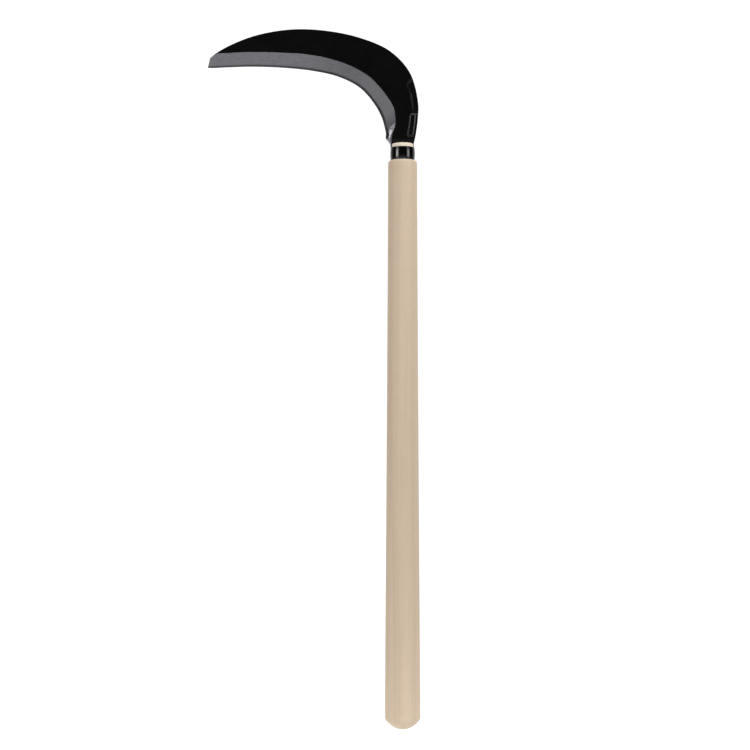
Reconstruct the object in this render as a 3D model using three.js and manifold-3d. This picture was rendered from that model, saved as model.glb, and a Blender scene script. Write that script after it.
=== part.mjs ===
// Hand scythe: a forged, single-bevel hooked blade pinned into a long, straight turned handle.
// Millimetres, +Z up the handle. The origin is the centre of the small flat on the handle's butt.
// The blade hooks towards -X, its ground bevel faces -Y and its flat back faces +Y.

import * as THREE from 'three';
import { mergeVertices } from 'three/addons/utils/BufferGeometryUtils.js';
import Module from 'manifold-3d';

const wasm = await Module();
wasm.setup();

// ---------------------------------------------------------------- clearances

const GAP = 0.3; // between pieces that are driven or slipped together
const WELD_GAP = 0.1; // between the blade's body and its edge steel

// ---------------------------------------------------------------- handle

const BUTT_FLAT_RADIUS = 4.5;
const BUTT_RADIUS = 17.8;
const DOME_HEIGHT = 10.5;
const DOME_POWER = 1.4; // the dome's fullness: 2 gives a quarter ellipse, 1 a cone
const SHAFT_TOP_RADIUS = 14.5;
const SHAFT_HOLLOW = 0.25; // how far the shaft is slimmer than a straight taper at mid length
const SHOULDER_Z = 567.3;
const SHOULDER_FLAT_RADIUS = 12.1;
const SHOULDER_ROUND_HEIGHT = 3.3;
const SPIGOT_RADIUS = 10.9;
const SPIGOT_TOP_Z = 584.1;
const SPIGOT_EDGE = 1.1;
const HANDLE_SIDES = 48;

// ---------------------------------------------------------------- ferrule

const FERRULE_INNER_RADIUS = SPIGOT_RADIUS + GAP;
const FERRULE_END_RADIUS = 12.0;
const FERRULE_WAIST_RADIUS = 12.35; // the ring is slightly barrelled
const FERRULE_BOTTOM_Z = SHOULDER_Z + GAP;
const FERRULE_TOP_Z = 580.3;
const FERRULE_EDGE = 0.5;

// ---------------------------------------------------------------- blade

// Cross-sections from the tip (row 0) to the neck's foot (last row), which is sunk in the handle's end. Each
// row gives, as [x, height above the handle's end], where the section meets the spine, the line where the
// ground bevel starts, and the cutting edge. From the heel on, the third point is the neck's inner side.
const BLADE_ROWS = [
  [[-192.5, 85.8], [-192.8, 84.9], [-194.9, 76.1]],
  [[-186.7, 90.2], [-186.8, 89.4], [-189.4, 76.0]],
  [[-172.0, 98.6], [-174.4, 90.5], [-176.4, 76.6]],
  [[-145.2, 108.6], [-148.5, 91.4], [-150.5, 77.3]],
  [[-110.5, 114.2], [-116.4, 90.6], [-120.5, 76.3]],
  [[-75.5, 112.7], [-84.5, 87.4], [-90.2, 73.2]],
  [[-40.5, 105.1], [-54.4, 78.6], [-63.7, 67.1]],
  [[-12.0, 92.0], [-32.8, 66.3], [-42.3, 55.9]],
  [[7.7, 70.0], [-16.7, 48.5], [-28.1, 39.8]],
  [[15.6, 40.2], [-9.1, 35.6], [-21.2, 27.3]],
  [[15.1, 23.6], [-7.2, 19.0], [-18.3, 18.0]],
  [[13.6, 11.5], [-9.9, 11.0], [-16.7, 10.0]],
  [[12.6, 5.8], [-11.1, 5.5], [-16.8, 5.4]],
  [[11.3, 0], [-11.5, 0], [-12.8, 0]],
  [[11.4, -3.8], [-11.4, -3.8], [-12.3, -3.8]],
];
const FULL_BEVEL_ROW = 1; // from here to the tip the bevel takes the blade's whole width
const NECK_ROW = 9; // the plate has its full thickness from here to the foot
const HEEL_ROW = 12;
const FOOT_ROW = BLADE_ROWS.length - 1;
const HANDLE_END_Z = SPIGOT_TOP_Z + GAP;
const FOOT_Z = HANDLE_END_Z + BLADE_ROWS[FOOT_ROW][0][1];
const RING_SPACING = 2.5;
const NECK_RING_SPACING = 1.2; // from NECK_ROW on

const BACK_Y = 1.6; // the flat back of the blade
const TIP_END_THICKNESS = 1.4;
const TIP_THICKNESS = 2.2; // where the unground face begins
const NECK_THICKNESS = 3.2;
const FOOT_SWELL = 0.7; // extra thickness on each face at the neck's foot
const SWELL_ROWS = [12, 13];

const STEEL_THICKNESS = 0.6; // the hard edge layer, on the back of the blade
const STEEL_WIDTH = 12;
const CUT_REACH = 2; // how far what is cut away reaches past the piece that it is cut from
const HONE_TIP_WIDTH = 1.3; // the honed strip along the edge
const HONE_NECK_WIDTH = 2.3;
const HONE_HEEL_WIDTH = 3.1;
const HONE_WIDEN_ROWS = [10, 10.6];

// The ground side rises from the hone as bevel, facet and shoulder. These are their steepest slopes, as rise
// over run. TURN gives, as [row, part of the way to the bevel line], where the bevel turns into the facet.
const BEVEL_SLOPE = 0.21;
const FACET_SLOPE = 0.55;
const SHOULDER_SLOPE = 1.2;
const TURN = [[9.8, 1], [10.05, 0.55], [10.3, 0.36], [10.55, 0.04]];

// The front face on the spine's side, as [row, inset, rim, drop]: it slopes down from the inset to the rim.
const SPINE_SLOPE = [
  [8.1, 9.0, 6.0, 0],
  [8.3, 9.0, 5.8, 0.8],
  [8.65, 7.6, 4.3, 0.95],
  [9.2, 7.4, 4.3, 0.8],
  [9.5, 6.8, 4.0, 0.4],
  [9.65, 4.0, 1.8, 0.7],
  [11.5, 4.0, 1.8, 0.7],
  [11.75, 4.0, 1.8, 0],
];
const SPINE_BREAK = 0.35; // the small corner break along the whole spine
const BACK_BREAK = 0.4;

// The pad on the neck: where it ends below and above, as heights above the handle's end
const PAD_FOOT = [6.4, 8.8];
const PAD_HEAD = [28.2, 30.4];
const PAD_HEIGHT = 0.9;
const PAD_INSET = 6.6; // from the spine to the pad's inner edge
const PAD_RAMP = 2.9;
const PAD_CLEAR = 0.3; // the least flat between the pad's inner edge and the slope to the spine

const TANG_BOTTOM_Z = 489;
const TANG_TOP = { halfWidth: 7, halfThickness: 2.3 };
const TANG_BOTTOM = { halfWidth: 3.5, halfThickness: 1.5 };
const TANG_ROOT = 1.5; // how far the tang runs up into the neck

// ---------------------------------------------------------------- pin and wedge

const PIN_Z = 574;
const PIN_RADIUS = 1.5;
const PIN_HEAD_RADIUS = 3.2;
const PIN_HEAD_HEIGHT = 1.3;
const PIN_POINT_LENGTH = 4;
const PIN_TIP_Y = -9;
const PIN_SIDES = 24;

const WEDGE_HALF_WIDTH = 5;
const WEDGE_TOP_Z = SPIGOT_TOP_Z - GAP;
const WEDGE_LENGTH = 40;
const WEDGE_TOP_THICKNESS = 2.2;
const WEDGE_BOTTOM_THICKNESS = 0.8;

// ---------------------------------------------------------------- looks

const BLACK_SCALE = { color: 0x101113, roughness: 0.45, metalness: 0.6 };
const HONED_STEEL = { color: 0x8b8b90, roughness: 0.3, metalness: 1 };
const BLACK_LACQUER = { color: 0x07080b, roughness: 0.15, metalness: 0.4 };
const PALE_WOOD = { color: 0xcdb9a0, roughness: 0.65, metalness: 0 };
const WIRE_STEEL = { color: 0x77777a, roughness: 0.4, metalness: 1 };

// ---------------------------------------------------------------- geometry helpers

const { lerp, clamp, smoothstep } = THREE.MathUtils;

// A closed solid through rings of equally many points, each ring a list of [x, y, z].
function loft(rings) {
  const count = rings[0].length;
  const index = [];
  for (let r = 0; r + 1 < rings.length; r += 1) {
    for (let i = 0; i < count; i += 1) {
      const a = r * count + i;
      const b = r * count + ((i + 1) % count);
      index.push(a, b, b + count, a, b + count, a + count);
    }
  }
  const last = (rings.length - 1) * count;
  for (const [i, j, k] of capTriangles(rings[0])) index.push(k, j, i);
  for (const [i, j, k] of capTriangles(rings[rings.length - 1])) index.push(last + i, last + j, last + k);
  const geometry = new THREE.BufferGeometry();
  geometry.setAttribute('position', new THREE.Float32BufferAttribute(rings.flat(2), 3));
  geometry.setIndex(index);
  return outward(geometry);
}

// Triangles over one flat ring, found in the plane of its own width and thickness.
function capTriangles(ring) {
  const points = ring.map((p) => new THREE.Vector3(...p));
  const normal = new THREE.Vector3();
  points.forEach((p, i) => normal.add(p.clone().cross(points[(i + 1) % points.length])));
  normal.normalize();
  const along = new THREE.Vector3(Math.abs(normal.x) < 0.9 ? 1 : 0, Math.abs(normal.x) < 0.9 ? 0 : 1, 0);
  const u = along.cross(normal).normalize();
  const v = normal.clone().cross(u);
  const flat = points.map((p) => new THREE.Vector2(p.dot(u), p.dot(v)));
  return THREE.ShapeUtils.triangulateShape(flat, []);
}

// Turns every face over if the solid is inside out.
function outward(geometry) {
  const at = geometry.attributes.position;
  const index = geometry.index.array;
  const [a, b, c] = [new THREE.Vector3(), new THREE.Vector3(), new THREE.Vector3()];
  let volume = 0;
  for (let i = 0; i < index.length; i += 3) {
    a.fromBufferAttribute(at, index[i]);
    b.fromBufferAttribute(at, index[i + 1]);
    c.fromBufferAttribute(at, index[i + 2]);
    volume += a.dot(b.cross(c));
  }
  if (volume < 0) geometry.setIndex(Array.from(index).reverse());
  return geometry;
}

// A solid of revolution about Z from a profile of [radius, z].
function turned(profile, sides) {
  const geometry = new THREE.LatheGeometry(profile.map(([r, z]) => new THREE.Vector2(r, z)), sides);
  geometry.rotateX(Math.PI / 2);
  return geometry;
}

// Points on an ellipse quarter or arc, from one angle to another, as [radius, z].
function arc(centreR, centreZ, radiusR, radiusZ, from, to, steps) {
  return Array.from({ length: steps + 1 }, (_, i) => {
    const angle = lerp(from, to, i / steps);
    return [centreR + radiusR * Math.cos(angle), centreZ + radiusZ * Math.sin(angle)];
  });
}

function toManifold(geometry) {
  const bare = geometry.clone();
  bare.deleteAttribute('normal');
  bare.deleteAttribute('uv');
  const merged = outward(mergeVertices(bare, 1e-4));
  const corners = Array.from(merged.index.array);
  const triangles = [];
  for (let i = 0; i < corners.length; i += 3) {
    const [a, b, c] = corners.slice(i, i + 3);
    if (a !== b && b !== c && c !== a) triangles.push(a, b, c);
  }
  return new wasm.Manifold(new wasm.Mesh({
    numProp: 3,
    vertProperties: merged.attributes.position.array,
    triVerts: new Uint32Array(triangles),
  }));
}

function toGeometry(manifold) {
  const mesh = manifold.getMesh();
  const geometry = new THREE.BufferGeometry();
  geometry.setAttribute('position', new THREE.BufferAttribute(mesh.vertProperties, 3));
  geometry.setIndex(new THREE.BufferAttribute(mesh.triVerts, 1));
  return geometry;
}

function piece(name, geometry, look) {
  const mesh = new THREE.Mesh(geometry, new THREE.MeshStandardMaterial(look));
  mesh.name = name;
  return mesh;
}

// ---------------------------------------------------------------- blade sections

const [spineCurve, bevelCurve, edgeCurve] = [0, 1, 2].map((line) => new THREE.CatmullRomCurve3(
  BLADE_ROWS.map((row) => new THREE.Vector3(row[line][0], 0, HANDLE_END_Z + row[line][1])),
));

// The values that a table gives for a row, eased between its entries.
function tableAt(table, row) {
  const next = table.findIndex(([at]) => at > row);
  if (next === 0) return table[0].slice(1);
  if (next < 0) return table[table.length - 1].slice(1);
  const [from, to] = [table[next - 1], table[next]];
  const t = smoothstep(row, from[0], to[0]);
  return from.slice(1).map((value, i) => lerp(value, to[i + 1], t));
}

// A point on the straight line from one point to another, a distance in from its start.
function inFrom(start, towards, distance) {
  return start.clone().add(towards.clone().sub(start).setLength(distance));
}

function plateThickness(row) {
  if (row < FULL_BEVEL_ROW) return lerp(TIP_END_THICKNESS, TIP_THICKNESS, row / FULL_BEVEL_ROW);
  const down = (row - FULL_BEVEL_ROW) / (NECK_ROW - FULL_BEVEL_ROW);
  return lerp(TIP_THICKNESS, NECK_THICKNESS, clamp(down, 0, 1));
}

function bladeSection(row) {
  const t = row / FOOT_ROW;
  const [spine, bevel, edge] = [spineCurve, bevelCurve, edgeCurve].map((curve) => curve.getPoint(t));
  const swell = FOOT_SWELL * smoothstep(row, ...SWELL_ROWS);
  const [backY, frontY] = [BACK_Y + swell, BACK_Y - plateThickness(row) - swell];
  return { row, spine, bevel, edge, backY, frontY, thickness: backY - frontY };
}

// The corners of the ground side: the honed strip's upper line, the ends of the bevel and of the facet, and
// the bevel line.
function groundSide(section) {
  const { row, bevel, edge, backY, frontY, thickness } = section;
  const width = edge.distanceTo(bevel);
  const plainWidth = lerp(HONE_TIP_WIDTH, HONE_NECK_WIDTH, clamp(row / NECK_ROW, 0, 1));
  const wideWidth = lerp(plainWidth, HONE_HEEL_WIDTH, smoothstep(row, ...HONE_WIDEN_ROWS));
  const honeWidth = Math.min(wideWidth, 0.6 * width);
  const honeRise = lerp(STEEL_THICKNESS, thickness / 2, smoothstep(row, HEEL_ROW, FOOT_ROW - 1));
  const hone = inFrom(edge, bevel, honeWidth);
  const run = width - honeWidth;
  const rise = thickness - honeRise;
  const [part] = tableAt(TURN, row);
  const turn = Math.min(part, 0.98) * run;
  const turnRise = Math.min(BEVEL_SLOPE * turn, (rise * turn) / run);
  const left = run - turn;
  const steep = (SHOULDER_SLOPE * left - (rise - turnRise)) / (SHOULDER_SLOPE - FACET_SLOPE);
  const brow = turn + clamp(steep, 0.02 * left, 0.98 * left);
  const browRise = turnRise + Math.min(FACET_SLOPE, (rise - turnRise) / left) * (brow - turn);
  const [turnPoint, browPoint] = [turn, brow].map((distance) => inFrom(hone, bevel, distance));
  return [
    [hone.x, backY - honeRise, hone.z],
    [turnPoint.x, backY - honeRise - turnRise, turnPoint.z],
    [browPoint.x, backY - honeRise - browRise, browPoint.z],
    [bevel.x, frontY, bevel.z],
  ];
}

// How far the pad stands up at a height, from 0 to 1.
function padRise(z) {
  const height = z - HANDLE_END_Z;
  return smoothstep(height, ...PAD_FOOT) * (1 - smoothstep(height, ...PAD_HEAD));
}

// The unground front face from the bevel line to the spine.
function frontSide(section) {
  const { row, spine, bevel, frontY } = section;
  const width = spine.distanceTo(bevel);
  const [inset, rim, drop] = tableAt(SPINE_SLOPE, row);
  const slopeTop = Math.min(inset, 0.45 * width);
  const padTop = Math.min(Math.max(PAD_INSET, slopeTop + PAD_CLEAR), 0.6 * width);
  const padFoot = Math.min(padTop + PAD_RAMP, 0.8 * width);
  const breakTop = Math.min(SPINE_BREAK, 0.05 * width);
  const lines = [[padFoot, 0, 0], [padTop, 1, 0], [slopeTop, 1, 0], [Math.min(rim, 0.3 * width), 1, drop]];
  return [...lines, [breakTop, 1, drop], [0, 1, drop + breakTop]].map(([distance, onPad, fall]) => {
    const point = inFrom(spine, bevel, distance);
    return [point.x, frontY - PAD_HEIGHT * onPad * padRise(point.z) + fall, point.z];
  });
}

function bladeRing(row) {
  const section = bladeSection(row);
  const { spine, edge, backY } = section;
  const backSpine = inFrom(spine, edge, BACK_BREAK);
  return [
    [edge.x, backY, edge.z],
    ...groundSide(section),
    ...frontSide(section),
    [spine.x, backY - BACK_BREAK, spine.z],
    [backSpine.x, backY, backSpine.z],
  ];
}

function steelWidth(section) {
  return Math.min(STEEL_WIDTH, 0.8 * section.spine.distanceTo(section.edge));
}

// The hard layer: the honed edge, its front against the body, and its inner end.
function steelRing(row) {
  const section = bladeSection(row);
  const { spine, edge, backY } = section;
  const [hone] = groundSide(section);
  const inner = inFrom(edge, spine, steelWidth(section));
  return [
    [edge.x, backY, edge.z],
    hone,
    [inner.x, hone[1], inner.z],
    [inner.x, backY, inner.z],
  ];
}

// What is taken out of the body for the hard layer, reaching past the edge and the back.
function seatRing(row) {
  const section = bladeSection(row);
  const { spine, edge, backY } = section;
  const outer = inFrom(edge, spine, -CUT_REACH);
  const inner = inFrom(edge, spine, steelWidth(section) + WELD_GAP);
  const seatY = backY - STEEL_THICKNESS - WELD_GAP;
  return [
    [outer.x, backY + CUT_REACH, outer.z],
    [outer.x, seatY, outer.z],
    [inner.x, seatY, inner.z],
    [inner.x, backY + CUT_REACH, inner.z],
  ];
}

// Evenly spaced places for rings down the blade as far as a row, with the ends of its steps among them.
function rows(last) {
  const steps = [...TURN, ...SPINE_SLOPE].map(([row]) => row);
  const found = [last, ...steps.filter((row) => row < last)];
  for (let row = 0; row < last; row += 1) {
    const length = spineCurve.getPoint(row / FOOT_ROW).distanceTo(spineCurve.getPoint((row + 1) / FOOT_ROW));
    const count = Math.ceil(length / (row < NECK_ROW ? RING_SPACING : NECK_RING_SPACING));
    for (let i = 0; i < count; i += 1) found.push(row + i / count);
  }
  return found.sort((a, b) => a - b);
}

function moved(ring, x, z) {
  return ring.map((p) => [p[0] + x, p[1], p[2] + z]);
}

// ---------------------------------------------------------------- blade pieces

// A level rectangle about the point [0, y] at a height, as a ring for loft().
function rectangle(halfX, lowY, highY, z) {
  return [[-halfX, lowY, z], [halfX, lowY, z], [halfX, highY, z], [-halfX, highY, z]];
}

// The tang, or with a clearance the mortise that takes it.
function tang(topZ, clearance) {
  const down = (topZ - FOOT_Z) / (TANG_BOTTOM_Z - FOOT_Z);
  const halfX = lerp(TANG_TOP.halfWidth, TANG_BOTTOM.halfWidth, down) + clearance;
  const halfY = lerp(TANG_TOP.halfThickness, TANG_BOTTOM.halfThickness, down) + clearance;
  const bottomX = TANG_BOTTOM.halfWidth + clearance;
  const bottomY = TANG_BOTTOM.halfThickness + clearance;
  return loft([
    rectangle(bottomX, -bottomY, bottomY, TANG_BOTTOM_Z - clearance),
    rectangle(halfX, -halfY, halfY, topZ),
  ]);
}

// A round hole along Y for the pin, open at both ends of what it goes through.
function pinHole(fromY) {
  const reach = SPIGOT_RADIUS + CUT_REACH + PIN_HEAD_HEIGHT;
  const hole = new THREE.CylinderGeometry(PIN_RADIUS + GAP, PIN_RADIUS + GAP, reach - fromY, PIN_SIDES);
  hole.translate(0, (reach + fromY) / 2, PIN_Z);
  return toManifold(hole);
}

function bladeBody() {
  const shell = toManifold(loft(rows(FOOT_ROW).map(bladeRing)));
  const seats = rows(HEEL_ROW).map(seatRing);
  seats.unshift(moved(seats[0], -CUT_REACH, 0));
  seats.push(moved(seats[seats.length - 1], 0, -WELD_GAP));
  const tangSolid = toManifold(tang(FOOT_Z + TANG_ROOT, 0));
  const body = shell.add(tangSolid).subtract(toManifold(loft(seats)));
  return toGeometry(body.subtract(pinHole(-SPIGOT_RADIUS)));
}

function edgeSteel() {
  return loft(rows(HEEL_ROW).map(steelRing));
}

// ---------------------------------------------------------------- handle pieces

function shaftRadius(z) {
  const up = (z - DOME_HEIGHT) / (SHOULDER_Z - SHOULDER_ROUND_HEIGHT - DOME_HEIGHT);
  return lerp(BUTT_RADIUS, SHAFT_TOP_RADIUS, up) - 4 * SHAFT_HOLLOW * up * (1 - up);
}

// The domed end from the butt's flat to the shaft, as [radius, z].
function domeProfile(steps) {
  return Array.from({ length: steps + 1 }, (_, i) => {
    const angle = (i / steps) * (Math.PI / 2);
    const out = Math.sin(angle) ** (2 / DOME_POWER);
    const up = 1 - Math.cos(angle) ** (2 / DOME_POWER);
    return [lerp(BUTT_FLAT_RADIUS, BUTT_RADIUS, out), DOME_HEIGHT * up];
  });
}

function handleProfile() {
  const shaftTop = SHOULDER_Z - SHOULDER_ROUND_HEIGHT;
  const shaft = Array.from({ length: 9 }, (_, i) => lerp(DOME_HEIGHT, shaftTop, i / 8));
  const roundWidth = SHAFT_TOP_RADIUS - SHOULDER_FLAT_RADIUS;
  const spigotRim = SPIGOT_RADIUS - SPIGOT_EDGE;
  return [
    [0, 0],
    ...domeProfile(9),
    ...shaft.slice(1).map((z) => [shaftRadius(z), z]),
    ...arc(SHOULDER_FLAT_RADIUS, shaftTop, roundWidth, SHOULDER_ROUND_HEIGHT, 0, Math.PI / 2, 6).slice(1),
    [SPIGOT_RADIUS, SHOULDER_Z],
    ...arc(spigotRim, SPIGOT_TOP_Z - SPIGOT_EDGE, SPIGOT_EDGE, SPIGOT_EDGE, 0, Math.PI / 2, 4),
    [0, SPIGOT_TOP_Z],
  ];
}

// The tapered wedge behind the tang, or with a clearance the room it needs.
function wedge(clearance) {
  const bottomZ = WEDGE_TOP_Z - WEDGE_LENGTH;
  const ring = (z, thickness) => {
    const down = (z - FOOT_Z) / (TANG_BOTTOM_Z - FOOT_Z);
    const inner = lerp(TANG_TOP.halfThickness, TANG_BOTTOM.halfThickness, down) + GAP;
    return rectangle(WEDGE_HALF_WIDTH + clearance, inner - clearance, inner + thickness + clearance, z);
  };
  const bottom = moved(ring(bottomZ, WEDGE_BOTTOM_THICKNESS), 0, -clearance);
  const top = moved(ring(WEDGE_TOP_Z, WEDGE_TOP_THICKNESS), 0, clearance > 0 ? CUT_REACH : 0);
  return loft([bottom, top]);
}

// The slot across the handle's end that takes the neck's foot.
function footSlot() {
  const halfX = BUTT_RADIUS;
  const halfY = TANG_TOP.halfThickness + GAP;
  return loft([
    rectangle(halfX, -halfY, halfY, FOOT_Z - GAP),
    rectangle(halfX, -halfY, halfY, SPIGOT_TOP_Z + CUT_REACH),
  ]);
}

function handle() {
  const blank = toManifold(turned(handleProfile(), HANDLE_SIDES));
  const cuts = [tang(FOOT_Z + TANG_ROOT, GAP), footSlot(), wedge(GAP)].map(toManifold);
  cuts.push(pinHole(PIN_TIP_Y - GAP));
  return toGeometry(cuts.reduce((wood, cut) => wood.subtract(cut), blank));
}

function ferrule() {
  const middleZ = (FERRULE_BOTTOM_Z + FERRULE_TOP_Z) / 2;
  const halfHeight = (FERRULE_TOP_Z - FERRULE_BOTTOM_Z) / 2 - FERRULE_EDGE;
  const barrel = Array.from({ length: 9 }, (_, i) => {
    const side = i / 4 - 1;
    return [lerp(FERRULE_WAIST_RADIUS, FERRULE_END_RADIUS, side ** 2), middleZ + side * halfHeight];
  });
  const rim = FERRULE_END_RADIUS - FERRULE_EDGE;
  const ring = turned([
    [FERRULE_INNER_RADIUS, FERRULE_BOTTOM_Z],
    [rim, FERRULE_BOTTOM_Z],
    ...barrel,
    [rim, FERRULE_TOP_Z],
    [FERRULE_INNER_RADIUS, FERRULE_TOP_Z],
    [FERRULE_INNER_RADIUS, FERRULE_BOTTOM_Z],
  ], HANDLE_SIDES);
  return toGeometry(toManifold(ring).subtract(pinHole(0)));
}

// A nail driven from the back of the ferrule, its point left blind in the wood.
function tangPin() {
  const headY = FERRULE_WAIST_RADIUS + GAP;
  const dome = Array.from({ length: 6 }, (_, i) => {
    const angle = (i / 5) * (Math.PI / 2);
    return [PIN_HEAD_RADIUS * Math.cos(angle), headY + 0.4 + (PIN_HEAD_HEIGHT - 0.4) * Math.sin(angle)];
  });
  const nail = turned([
    [0, PIN_TIP_Y],
    [PIN_RADIUS, PIN_TIP_Y + PIN_POINT_LENGTH],
    [PIN_RADIUS, headY],
    [PIN_HEAD_RADIUS, headY],
    ...dome.slice(0, -1),
    [0, headY + PIN_HEAD_HEIGHT],
  ], PIN_SIDES);
  nail.rotateX(-Math.PI / 2);
  return nail;
}

function tangWedge() {
  return toGeometry(toManifold(wedge(0)).subtract(pinHole(0)));
}

// ---------------------------------------------------------------- assembly

const pin = piece('tang_pin', tangPin(), WIRE_STEEL);
pin.position.z = PIN_Z;

const handScythe = new THREE.Group();
handScythe.name = 'hand_scythe';
handScythe.add(
  piece('blade_body', bladeBody(), BLACK_SCALE),
  piece('edge_steel', edgeSteel(), HONED_STEEL),
  piece('handle', handle(), PALE_WOOD),
  piece('ferrule', ferrule(), BLACK_LACQUER),
  pin,
  piece('tang_wedge', tangWedge(), PALE_WOOD),
);

export default handScythe;
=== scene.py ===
"""Looks of the hand scythe: a fine mesh and a procedural finish for each piece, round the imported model."""

import math

import bmesh
import bpy
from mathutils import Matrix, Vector, noise


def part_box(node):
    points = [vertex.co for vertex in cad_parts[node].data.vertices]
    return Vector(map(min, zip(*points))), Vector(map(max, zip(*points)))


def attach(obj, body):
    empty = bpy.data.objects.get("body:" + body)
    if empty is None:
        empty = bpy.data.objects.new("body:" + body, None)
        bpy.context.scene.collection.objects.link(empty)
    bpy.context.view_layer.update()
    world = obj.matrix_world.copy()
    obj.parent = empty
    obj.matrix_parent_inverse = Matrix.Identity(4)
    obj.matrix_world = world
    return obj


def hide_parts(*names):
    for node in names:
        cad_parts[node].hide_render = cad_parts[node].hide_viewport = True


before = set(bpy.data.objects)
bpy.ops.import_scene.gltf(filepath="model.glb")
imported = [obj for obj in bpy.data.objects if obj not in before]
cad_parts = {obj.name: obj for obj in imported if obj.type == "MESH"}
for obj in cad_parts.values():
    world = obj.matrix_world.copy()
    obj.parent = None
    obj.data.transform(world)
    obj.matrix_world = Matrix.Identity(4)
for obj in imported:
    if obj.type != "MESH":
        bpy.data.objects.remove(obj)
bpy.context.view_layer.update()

MM = 0.001

# ---------------------------------------------------------------- where the pieces are, in millimetres

GAP = 0.3  # the clearance that the model keeps between pieces that touch


def box_mm(node):
    """The lowest and the highest corner of a node's box."""
    low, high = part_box(node)
    return low / MM, high / MM


HANDLE_HIGH = box_mm("handle")[1]
FERRULE_LOW, FERRULE_HIGH = box_mm("ferrule")
BODY_LOW = box_mm("blade_body")[0]
PIN_LOW, PIN_HIGH = box_mm("tang_pin")
WEDGE_LOW, WEDGE_HIGH = box_mm("tang_wedge")

HANDLE_END_Z = HANDLE_HIGH.z + GAP
SHOULDER_Z = FERRULE_LOW.z - GAP

# ---------------------------------------------------------------- blade outline, in millimetres

# Cross-sections from the tip (row 0) to the neck's foot (last row), which is sunk in the handle's end. Each
# row gives, as (x, height above the handle's end), where the section meets the spine, the line where the
# ground bevel starts, and the cutting edge. From the heel on, the third point is the neck's inner side.
BLADE_ROWS = [
    ((-192.5, 85.8), (-192.8, 84.9), (-194.9, 76.1)),
    ((-186.7, 90.2), (-186.8, 89.4), (-189.4, 76.0)),
    ((-172.0, 98.6), (-174.4, 90.5), (-176.4, 76.6)),
    ((-145.2, 108.6), (-148.5, 91.4), (-150.5, 77.3)),
    ((-110.5, 114.2), (-116.4, 90.6), (-120.5, 76.3)),
    ((-75.5, 112.7), (-84.5, 87.4), (-90.2, 73.2)),
    ((-40.5, 105.1), (-54.4, 78.6), (-63.7, 67.1)),
    ((-12.0, 92.0), (-32.8, 66.3), (-42.3, 55.9)),
    ((7.7, 70.0), (-16.7, 48.5), (-28.1, 39.8)),
    ((15.6, 40.2), (-9.1, 35.6), (-21.2, 27.3)),
    ((15.1, 23.6), (-7.2, 19.0), (-18.3, 18.0)),
    ((13.6, 11.5), (-9.9, 11.0), (-16.7, 10.0)),
    ((12.6, 5.8), (-11.1, 5.5), (-16.8, 5.4)),
    ((11.3, 0.0), (-11.5, 0.0), (-12.8, 0.0)),
    ((11.4, -3.8), (-11.4, -3.8), (-12.3, -3.8)),
]
FULL_BEVEL_ROW = 1  # from here to the tip the bevel takes the blade's whole width
NECK_ROW = 9  # the plate has its full thickness from here to the foot
HEEL_ROW = 12
FOOT_ROW = len(BLADE_ROWS) - 1
FOOT_Z = HANDLE_END_Z + BLADE_ROWS[FOOT_ROW][0][1]
ROW_SPACING = 0.6  # between the rings of the fine mesh, along the spine
NECK_ROW_SPACING = 0.35  # from NECK_FINE_ROW on, where there are steps across the blade
NECK_FINE_ROW = 8
HEEL_STEP_ROWS = 0.002  # from the last ring with edge steel to the first without it
HEEL_STEP = 0.01

BACK_Y = 1.6  # the flat back of the blade
TIP_END_THICKNESS = 1.4
TIP_THICKNESS = 2.2  # where the unground face begins
NECK_THICKNESS = 3.2
FOOT_SWELL = 0.7  # extra thickness on each face at the neck's foot
SWELL_ROWS = (12, 13)

STEEL_THICKNESS = 0.6  # the hard edge layer, on the back of the blade
STEEL_WIDTH = 12
WELD_GAP = 0.02
WELD_LIP = 0.05  # from the honed strip to where the body's bevel starts
EDGE_BLUNT = 0.04  # the height of the flat that is left on the cutting edge
HONE_TIP_WIDTH = 1.3  # the honed strip along the edge
HONE_NECK_WIDTH = 2.3
HONE_HEEL_WIDTH = 3.1
HONE_WIDEN_ROWS = (10, 10.6)

# How far the lines wander that grinding by hand leaves, and over what length. The bevel line only wanders
# between the tip and the neck.
WANDER_START_ROWS = (1, 2)
WANDER_END_ROWS = (10, 11)
BEVEL_WANDER, BEVEL_WANDER_LENGTH = 0.22, 14
HONE_WANDER, HONE_WANDER_LENGTH = 0.12, 9

# The ground side rises from the hone as bevel, facet and shoulder. These are their steepest slopes, as rise
# over run. TURN gives, as (row, part of the way to the bevel line), where the bevel turns into the facet.
BEVEL_SLOPE = 0.21
FACET_SLOPE = 0.55
SHOULDER_SLOPE = 1.2
TURN = ((9.8, 1), (10.05, 0.55), (10.3, 0.36), (10.55, 0.04))

# The front face on the spine's side, as (row, inset, rim, drop): it slopes down from the inset to the rim.
SPINE_SLOPE = (
    (8.1, 9.0, 6.0, 0),
    (8.3, 9.0, 5.8, 0.8),
    (8.65, 7.6, 4.3, 0.95),
    (9.2, 7.4, 4.3, 0.8),
    (9.5, 6.8, 4.0, 0.4),
    (9.65, 4.0, 1.8, 0.7),
    (11.5, 4.0, 1.8, 0.7),
    (11.75, 4.0, 1.8, 0),
)
SPINE_BREAK = 0.35  # the small corner break along the whole spine
BACK_BREAK = 0.4

# The pad on the neck: where it ends below and above, as heights above the handle's end
PAD_FOOT = (6.4, 8.8)
PAD_HEAD = (28.2, 30.4)
PAD_HEIGHT = 0.9
PAD_INSET = 6.6  # from the spine to the pad's inner edge
PAD_RAMP = 2.9
PAD_CLEAR = 0.3  # the least flat between the pad's inner edge and the slope to the spine


def lerp(a, b, t):
    return a + (b - a) * t


def clamp(x, low, high):
    return max(low, min(high, x))


def smoothstep(x, low, high):
    t = clamp((x - low) / (high - low), 0, 1)
    return t * t * (3 - 2 * t)


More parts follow.
